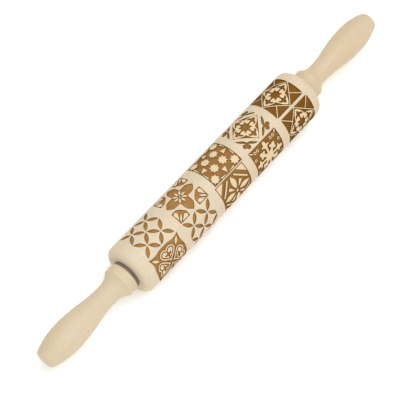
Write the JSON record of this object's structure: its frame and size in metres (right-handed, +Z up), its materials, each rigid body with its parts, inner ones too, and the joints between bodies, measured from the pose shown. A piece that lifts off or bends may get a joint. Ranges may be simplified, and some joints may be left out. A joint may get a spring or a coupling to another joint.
{
  "type": "engraved rolling pin",
  "caption": "Wooden rolling pin with an engraved pattern barrel that turns on ball bearings between two turned handles.",
  "frame": {"origin": "middle of the barrel, on the axle's centre line", "axes": "+X along the axle towards the right handle, +Z up; the pin lies level on its barrel"},
  "size_m": [0.43, 0.048, 0.048],
  "materials": {
    "engraved_beech": "satin, laser-engraved brown in the recesses",
    "turned_beech": "satin",
    "dark_nylon": "matte",
    "axle_steel": "brushed",
    "insert_brass": "satin",
    "spring_steel": "dark phosphated",
    "bearing_steel": "ground",
    "shield_steel": "satin",
    "cage_brass": "satin",
    "ball_chrome": "polished"
  },
  "bodies": {
    "axle_and_handles": {"axle_rod": "axle_steel", "left_handle": "turned_beech", "right_handle": "turned_beech", "left_threaded_insert": "insert_brass", "right_threaded_insert": "insert_brass", "left_dust_washer": "dark_nylon", "right_dust_washer": "dark_nylon", "left_circlip": "spring_steel", "right_circlip": "spring_steel", "left_inner_race": "bearing_steel", "right_inner_race": "bearing_steel"},
    "barrel": {"barrel": "engraved_beech", "left_outer_race": "bearing_steel", "right_outer_race": "bearing_steel", "left_outboard_shield": "shield_steel", "right_outboard_shield": "shield_steel", "left_inboard_shield": "shield_steel", "right_inboard_shield": "shield_steel"},
    "left_ball_set": {"left_ball_cage": "cage_brass", "left_balls": "ball_chrome"},
    "right_ball_set": {"right_ball_cage": "cage_brass", "right_balls": "ball_chrome"}
  },
  "joints": [
    {"name": "barrel_spin", "type": "hinge", "parent": "axle_and_handles", "child": "barrel", "pos_m": [0, 0, 0], "axis": [1, 0, 0], "continuous": true},
    {"name": "left_ball_set_spin", "type": "hinge", "parent": "axle_and_handles", "child": "left_ball_set", "pos_m": [-0.1115, 0, 0], "axis": [1, 0, 0], "continuous": true},
    {"name": "right_ball_set_spin", "type": "hinge", "parent": "axle_and_handles", "child": "right_ball_set", "pos_m": [0.1115, 0, 0], "axis": [1, 0, 0], "continuous": true}
  ],
  "couplings": [
    {"joint": "left_ball_set_spin", "follows": "barrel_spin", "ratio": 0.63227},
    {"joint": "right_ball_set_spin", "follows": "barrel_spin", "ratio": 0.63227}
  ]
}
